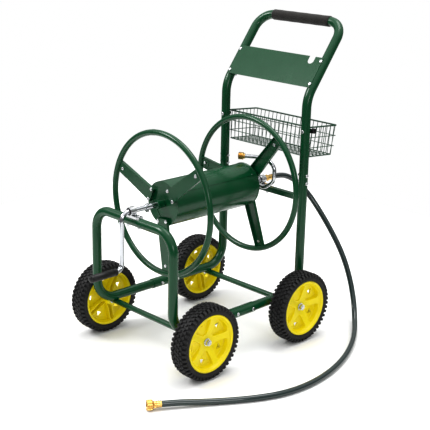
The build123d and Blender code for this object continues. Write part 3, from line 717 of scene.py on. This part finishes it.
    def opening(self) -> bpy.types.Object:
        """The cutter for the three-sided hole in a pocket's floor.

        Returns:
            The cutter.
        """
        start_fresh()
        bpy.ops.mesh.primitive_cylinder_add(vertices=3, radius=self.opening_size * MM, depth=40 * MM,
                                            location=(0, self.opening_radius * MM, 0),
                                            rotation=(0, math.pi / 2, 0))
        cutter = bpy.context.object
        apply_place(cutter)
        edit(cutter)
        pick(cutter, "EDGE", lambda c, n: abs(n.x) > 0.9)
        bpy.ops.mesh.bevel(offset=1.6 * MM, segments=2, affect="EDGES")
        bpy.ops.object.mode_set(mode="OBJECT")
        return cutter

    def around(self, piece: bpy.types.Object, offset: float) -> bpy.types.Object:
        """Repeat a piece once for each spoke.

        Args:
            piece: the piece on the +Y side.
            offset: the first copy's angle, as a share of the step between spokes.

        Returns:
            All the copies as one piece.
        """
        copies = []
        for i in range(self.spokes):
            each = copy_of(piece, f"copy_{i}")
            each.matrix_world = Matrix.Rotation(math.tau / self.spokes * (i + offset), 4, "X")
            apply_place(each)
            copies.append(each)
        bpy.data.objects.remove(piece)
        return join(copies, "copies")

    def rib(self, z: float) -> bpy.types.Object:
        """One thin rib on the hub's inner side, on the +Y side.

        Args:
            z: how far it stands beside the spoke's middle, in millimetres.

        Returns:
            The rib.
        """
        start_fresh()
        bpy.ops.mesh.primitive_cube_add(size=1, location=(-13 * MM, 53 * MM, z * MM))
        rib = bpy.context.object
        rib.scale = (18 * MM, 72 * MM, 2.4 * MM)
        apply_place(rib)
        edit(rib)
        pick(rib, "VERT", lambda c, n: c.x < -15 * MM and c.y > 60 * MM)
        bpy.ops.transform.translate(value=(-3 * MM, 0, 0))
        bpy.ops.mesh.select_all(action="SELECT")
        bpy.ops.mesh.bevel(offset=0.6 * MM, segments=1, affect="EDGES")
        bpy.ops.object.mode_set(mode="OBJECT")
        return rib

    def hub(self) -> bpy.types.Object:
        """The moulded hub: rim, dished spokes, pockets, openings, ribs and boss.

        Returns:
            The hub.
        """
        rim = self.rim_radius - 0.3
        lip = [(29.5, rim), (31.0, rim - 1.6), (31.4, rim - 4.2), (30.0, rim - 7.4), (26.5, rim - 9.6)]
        dish = [(22.5, 86.2), (19.5, 82.0), (8.5, 23.5), (7.0, 21.0)]
        boss = [(7.0, 6.5), (-46.1, 6.5), (-46.1, 19.0), (-44.5, 20.8), (-12.0, 21.6), (-6.0, 25.0)]
        back = [(-4.0, 30.0), (-3.0, 80.0), (-6.0, 86.0), (-24.0, 88.5), (-28.5, 90.5)]
        hub = turned("hub_mould", lip + dish + boss + back + [(-30.2, rim - 4.0), (-29.5, rim)], 90)
        pockets = self.around(self.pocket(), 0.5)
        modify(hub, "BOOLEAN", operation="DIFFERENCE", object=pockets, solver="EXACT")
        holes = self.around(self.opening(), 0.5)
        modify(hub, "BOOLEAN", operation="DIFFERENCE", object=holes, solver="EXACT", use_self=True)
        bpy.data.objects.remove(pockets)
        bpy.data.objects.remove(holes)
        modify(hub, "BEVEL", width=1.3 * MM, segments=2, limit_method="ANGLE", angle_limit=math.radians(38))
        ribs = [self.around(self.rib(z), 0.0) for z in (-8.5, 8.5)]
        return join([hub, *ribs], "hub_mould")

    def build(self, wheels: Sequence[Wheel]) -> None:
        """Make the moulds and every wheel from them.

        Args:
            wheels: the wheels.
        """
        tyre, hub = self.tyre(), self.hub()
        rubber, plastic = Finishes.MOULDED_TYRE_RUBBER.value, Finishes.MOULDED_YELLOW_PLASTIC.value
        for wheel in wheels:
            corner = f"{wheel.end}_{wheel.side}"
            new_tyre = copy_of(tyre, f"tyre_{corner}_knobbly")
            wheel.place(new_tyre, wheel.turn * self.tyre_turn)
            dress(new_tyre, rubber, wheel.body(), [f"tyre_{corner}"], 35.0)
            new_hub = copy_of(hub, f"hub_{corner}_moulded")
            wheel.place(new_hub, wheel.turn)
            dress(new_hub, plastic, wheel.body(), [f"wheel_hub_{corner}"], 35.0)
        bpy.data.objects.remove(tyre)
        bpy.data.objects.remove(hub)


# ---------------------------------------------------------------- basket
@dataclass
class WireBasket:
    """The welded wire basket behind the posts."""

    half_width: float = 196.0
    depth: float = 144.0
    height: float = 105.0
    taper_side: float = 4.0
    taper_depth: float = 8.0
    droop: float = 4.5
    spacing: float = 20.0
    corner_radius: float = 7.0
    end_margin: float = 6.0
    long_wires: int = 7
    long_spacing: float = 19.5
    bend: float = 5.0
    overrun: float = 3.0
    rim_wire: float = 2.8
    floor_wire: float = 1.6
    band_wire: float = 1.4
    hoop_wire: float = 1.15
    bands: tuple[float, float] = (0.35, 0.7)
    rim_height: float = 743.0
    front: float = 315.5

    def at(self, x: float, y: float, z: float) -> tuple[float, float, float]:
        """A place on the basket.

        Args:
            x: its place across, in millimetres from the middle of the front rim.
            y: its place back from there.
            z: its height from there.

        Returns:
            The place in metres in the cart's frame.
        """
        turn = Matrix.Rotation(math.radians(-self.droop), 3, "X")
        spot = turn @ Vector((x, y, z)) + Vector((0, self.front, self.rim_height))
        return tuple(c * MM for c in spot)

    def section(self, down: float) -> tuple[float, float, float]:
        """The basket's outline at one height.

        Args:
            down: 0 at the rim and 1 at the floor.

        Returns:
            Half the width, and the front's and the back's places.
        """
        half = self.half_width - self.taper_side * down
        return half, self.taper_depth * down, self.depth - self.taper_depth * down

    def ring(self, down: float, overrun: float = 0.0) -> list[list[Point]]:
        """Horizontal wires round the basket at a share of the way down.

        Args:
            down: 0 at the rim and 1 at the floor.
            overrun: how far the side wires' ends pass the back corners, in millimetres.

        Returns:
            The wires' points.
        """
        half, front, back = self.section(down)
        z = -self.height * down
        if not overrun:
            r = self.corner_radius
            right, left, rear, fore = half - r, r - half, back - r, front + r
            loop = []
            for cx, cy, start in ((right, rear, 0), (left, rear, 90), (left, fore, 180), (right, fore, 270)):
                for step in range(4):
                    a = math.radians(start + step * 30)
                    loop.append(self.at(cx + r * math.cos(a), cy + r * math.sin(a), z))
            return [loop + [loop[0]]]
        wires = [[self.at(x, front - overrun, z), self.at(x, back + overrun, z)] for x in (-half, half)]
        wires += [[self.at(-half - overrun, y, z), self.at(half + overrun, y, z)] for y in (front, back)]
        return wires

    def hoop(self, place: float, along_width: bool) -> list[Point]:
        """One wire down a wall, across the floor and up the other wall.

        Args:
            place: where it stands, in millimetres.
            along_width: whether it runs across the basket's width.

        Returns:
            Its points.
        """
        half_top, front_top, back_top = self.section(0.0)
        half, front, back = self.section(1.0)
        z, r = -self.height, self.bend
        if along_width:
            flat = [(-half_top, 0), (-half - 0.2, z + r), (-half + r * 0.3, z + r * 0.3), (-half + r, z),
                    (half - r, z), (half - r * 0.3, z + r * 0.3), (half + 0.2, z + r), (half_top, 0)]
            return [self.at(x, place, h) for x, h in flat]
        share = place / self.half_width * half
        flat = [(front_top, 0), (front, z + r), (front + r * 0.3, z + r * 0.3), (front + r, z), (back - r, z),
                (back - r * 0.3, z + r * 0.3), (back, z + r), (back_top, 0)]
        return [self.at(place if h == 0 else share, y, h) for y, h in flat]

    def build(self) -> None:
        """Build the basket's wires as one welded piece."""
        reach = self.half_width - self.end_margin
        count = round(2 * reach / self.spacing)
        step = 2 * reach / count
        hoops = [self.hoop(-reach + i * step, False) for i in range(count + 1)]
        first = self.taper_depth + self.end_margin
        hoops += [self.hoop(first + i * self.long_spacing, True) for i in range(self.long_wires)]
        thin = rods("basket_hoops", hoops, self.hoop_wire, 1)
        bands = [wire for down in self.bands for wire in self.ring(down, self.overrun)]
        middle = rods("basket_bands", bands, self.band_wire, 1)
        floor = rods("basket_floor_ring", self.ring(1.0), self.floor_wire, 1)
        rim = rods("basket_rim", self.ring(0.0), self.rim_wire, 3)
        basket = join([rim, thin, middle, floor], "basket_welded_wire")
        dress(basket, Finishes.GREEN_COATED_WIRE.value, "cart_frame", ["basket"])


# ---------------------------------------------------------------- hand grips and fittings
@dataclass
class Grips:
    """The foam sleeve on the push bar and the plain grip on the crank."""

    foam_radius: float = 19.0
    tube_radius: float = 15.9
    crank_radius: float = 12.5

    def foam(self) -> None:
        """The foam sleeve, slightly soft at its ends."""
        low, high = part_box("foam_grip")
        half = (high.x - low.x) / 2 / MM
        r = self.foam_radius
        edge = [(half - 4.0, r), (half - 1.8, r - 0.5), (half - 0.4, r - 1.6),
                (half, self.tube_radius + 0.4), (half - 0.4, self.tube_radius)]
        body = [(x, r - 0.25 + 0.25 * math.sin(x * 0.11)) for x in range(120, -121, -8)]
        profile = edge[::-1] + body + [(-x, r) for x, r in edge]
        sleeve = turned("foam_grip_sleeve", profile, 48)
        put(sleeve, (low + high) / 2, (1, 0, 0))
        dress(sleeve, Finishes.NITRILE_FOAM.value, "cart_frame", ["foam_grip"])

    def crank(self) -> None:
        """The crank's grip with a ring at each end, and the domed cap on its pin."""
        low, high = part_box("crank_grip")
        length, r = (high.y - low.y) / MM, self.crank_radius
        end = [(0.0, 6.1), (0.0, r - 1.6), (0.8, r - 0.5), (2.0, r), (7.0, r), (8.0, r - 0.9), (9.5, r - 0.9),
               (10.5, r - 0.1)]
        profile = end + [(length / 2, r - 0.45)] + [(length - x, y) for x, y in reversed(end)]
        grip = turned("crank_grip_turned", profile, 40)
        centre = (low + high) / 2
        put(grip, (centre.x, low.y, centre.z), (0, 1, 0))
        dress(grip, Finishes.MOULDED_BLACK_PLASTIC.value, "crank_handle_grip", ["crank_grip"])
        low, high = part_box("grip_cap")
        dome = [(0.0, 0.01), (0.15, 3.0), (0.9, 5.8), (2.0, 7.5), (3.0, 8.0), (4.0, 8.0), (4.0, 0.01)]
        cap = turned("grip_cap_domed", dome, 32, closed=False)
        centre = (low + high) / 2
        put(cap, (centre.x, low.y, centre.z), (0, 1, 0))
        dress(cap, Finishes.MOULDED_BLACK_PLASTIC.value, "reel", ["grip_cap"])


@dataclass
class WaterFittings:
    """The brass thread at the swan neck's end."""

    nipple_start: Point = (-8.0, 201.5, 620.9)
    nipple_from: Point = (24.0, 223.0, 620.9)

    def nipple(self) -> None:
        """The male hose thread at the swan neck's end."""
        start, before = Vector(self.nipple_start), Vector(self.nipple_from)
        along = (start - before).normalized()
        profile = [(-6.0, 6.85), (-6.0, 8.6), (-5.4, 9.2), (-0.8, 9.2), (0.0, 12.2), (0.8, 13.0), (3.4, 13.0),
                   (4.0, 12.2)]
        for i in range(6):
            x = 4.6 + i * 2.2
            profile += [(x, 12.0), (x + 0.7, 13.1), (x + 1.1, 13.1), (x + 1.8, 12.0)]
        profile += [(17.6, 11.6), (18.0, 11.2), (18.0, 6.2), (0.0, 6.2), (0.0, 6.85)]
        piece = turned("hose_nipple_threaded", profile, 48)
        put(piece, start * MM, along)
        dress(piece, Finishes.TURNED_BRASS.value, "reel", ["hose_nipple"], 30.0)


@dataclass
class Drum:
    """Small fixings on the drum: the rolled bead at its rear end and a rivet at each seam."""

    radius: float = 75.0
    half_length: float = 192.0
    centre: Point = (0.0, 8.7, 521.9)
    seam: float = 44.15
    rivet_turn: float = 3.5
    rivet_setback: float = 22.0
    bead_setback: float = 3.0

    def build(self) -> None:
        """Build the bead and the rivets."""
        roll = [(-2.4, 74.9), (-1.6, 76.2), (0, 76.7), (1.6, 76.2), (2.4, 74.9)]
        bead = turned("drum_rear_bead", roll, 96)
        y = self.centre[1] + self.half_length - self.bead_setback
        put(bead, (0, y * MM, self.centre[2] * MM), (0, 1, 0))
        dress(bead, Finishes.GREEN_POWDER_COAT.value, "reel")
        head = [(0.0, 3.2), (0.5, 3.2), (1.1, 2.6), (1.6, 1.5), (1.8, 0.01)]
        rivets = []
        for i in range(3):
            a = math.radians(self.seam + 120 * i - self.rivet_turn)
            out = Vector((math.cos(a), 0, math.sin(a)))
            rivet = turned("rivet", head, 16, closed=False)
            along = Vector((0, self.half_length - self.rivet_setback, 0))
            spot = Vector(self.centre) + out * (self.radius + 0.1) + along
            put(rivet, spot * MM, out)
            rivets.append(rivet)
        dress(join(rivets, "drum_rivets"), Finishes.ZINC_PLATED_STEEL.value, "reel")


# ---------------------------------------------------------------- metalwork that keeps its CAD shape
class Metalwork:
    """The CAD nodes that keep their shape and only take a better finish."""

    def build(self) -> None:
        """Give every shown CAD node the finish of its material slot."""
        for part in frame["record"]["subparts"]:
            node = frame["nodes"][part["node"]]
            if node.hide_render:
                continue
            finish = SLOT_FINISH[part["material_slot"]]
            if not node.material_slots:
                node.data.materials.append(finish.material())
            for slot in node.material_slots:
                slot.material = finish.material()
            LOG.info("%s takes %s", node.name, finish.name)


# ---------------------------------------------------------------- studio
@dataclass
class Studio:
    """The camera, the lights and the pale floor."""

    azimuth: float = 45.696
    elevation: float = 17.327
    roll: float = 1.218
    place: Point = (2.4240, -2.3071, 1.4895)
    lens: float = 85.02
    floor_size: float = 3.6
    wall_light: float = 0.25
    ceiling_light: float = 1.5

    def camera(self) -> None:
        """The camera at the cart's right front corner."""
        a, e, r = (math.radians(v) for v in (self.azimuth, self.elevation, self.roll))
        back = Vector((math.sin(a) * math.cos(e), -math.cos(a) * math.cos(e), math.sin(e)))
        level = Vector((math.cos(a), math.sin(a), 0))
        above = back.cross(level)
        right = level * math.cos(r) + above * math.sin(r)
        up = above * math.cos(r) - level * math.sin(r)
        data = bpy.data.cameras.new("camera")
        data.lens = self.lens
        data.sensor_width = 36.0
        data.clip_end = 100.0
        camera = bpy.data.objects.new("camera", data)
        bpy.context.scene.collection.objects.link(camera)
        camera.matrix_world = Matrix.Translation(self.place) @ Matrix((right, up, back)).transposed().to_4x4()
        bpy.context.scene.camera = camera

    def light(self, name: str, place: Point, aim: Point, size: float, watts: float) -> None:
        """A square soft light.

        Args:
            name: its name.
            place: where it stands.
            aim: what it points at.
            size: its side, in metres.
            watts: its power.
        """
        data = bpy.data.lights.new(name, "AREA")
        data.size = size
        data.energy = watts
        lamp = bpy.data.objects.new(name, data)
        bpy.context.scene.collection.objects.link(lamp)
        lamp.location = place
        lamp.rotation_euler = (Vector(aim) - Vector(place)).to_track_quat("-Z", "Y").to_euler()

    def floor(self) -> None:
        """The pale floor."""
        start_fresh()
        bpy.ops.mesh.primitive_plane_add(size=self.floor_size, location=(0, 0, 0))
        floor = bpy.context.object
        floor.name = "studio_floor"
        material = bpy.data.materials.new("matt_white_floor")
        material.use_nodes = True
        shader = material.node_tree.nodes["Principled BSDF"]
        shader.inputs["Base Color"].default_value = linear("#F2F2F1")
        shader.inputs["Roughness"].default_value = 0.85
        floor.data.materials.append(material)

    def build(self) -> None:
        """Build the studio."""
        self.camera()
        self.floor()
        world = bpy.data.worlds.new("studio_world")
        world.use_nodes = True
        tree = world.node_tree
        tree.nodes.clear()
        way = add_node(tree, "ShaderNodeTexCoord").outputs["Generated"]
        height = add_node(tree, "ShaderNodeSeparateXYZ", None, {0: way}).outputs["Z"]
        rise = {"From Min": 0.15, "From Max": 0.85, "To Min": self.wall_light, "To Max": self.ceiling_light}
        ceiling = add_node(tree, "ShaderNodeMapRange", rise, {"Value": height})
        seen = add_node(tree, "ShaderNodeLightPath").outputs["Is Camera Ray"]
        strength = add_node(tree, "ShaderNodeMix", {3: 1.0}, {0: seen, 2: ceiling.outputs["Result"]})
        white = {"Color": linear("#FFFFFF")}
        sky = add_node(tree, "ShaderNodeBackground", white, {"Strength": strength.outputs[0]})
        add_node(tree, "ShaderNodeOutputWorld", None, {"Surface": sky.outputs[0]})
        bpy.context.scene.world = world
        bpy.context.scene.view_settings.view_transform = "Standard"
        bpy.context.scene.view_settings.gamma = 0.8
        self.light("key", (-2.2, -2.4, 3.2), (0, 0, 0.4), 1.4, 90)
        self.light("side", (3.4, -1.6, 1.6), (0, 0, 0.5), 1.0, 22)
        self.light("top", (0.2, 0.8, 4.0), (0, 0, 0.4), 2.0, 60)


def main() -> None:
    """Build the cart's looks, from the camera and the hose to the small fixings."""
    logging.basicConfig(level=logging.INFO, format="%(message)s")
    Studio().build()
    LeaderHose().build()
    WheelMoulds().build([Wheel("front", "right", 5.0), Wheel("rear", "right", 5.0),
                         Wheel("front", "left", -8.0), Wheel("rear", "left", -8.0)])
    WireBasket().build()
    grips = Grips()
    grips.foam()
    grips.crank()
    WaterFittings().nipple()
    Drum().build()
    Metalwork().build()


if __name__ == "__main__":
    main()
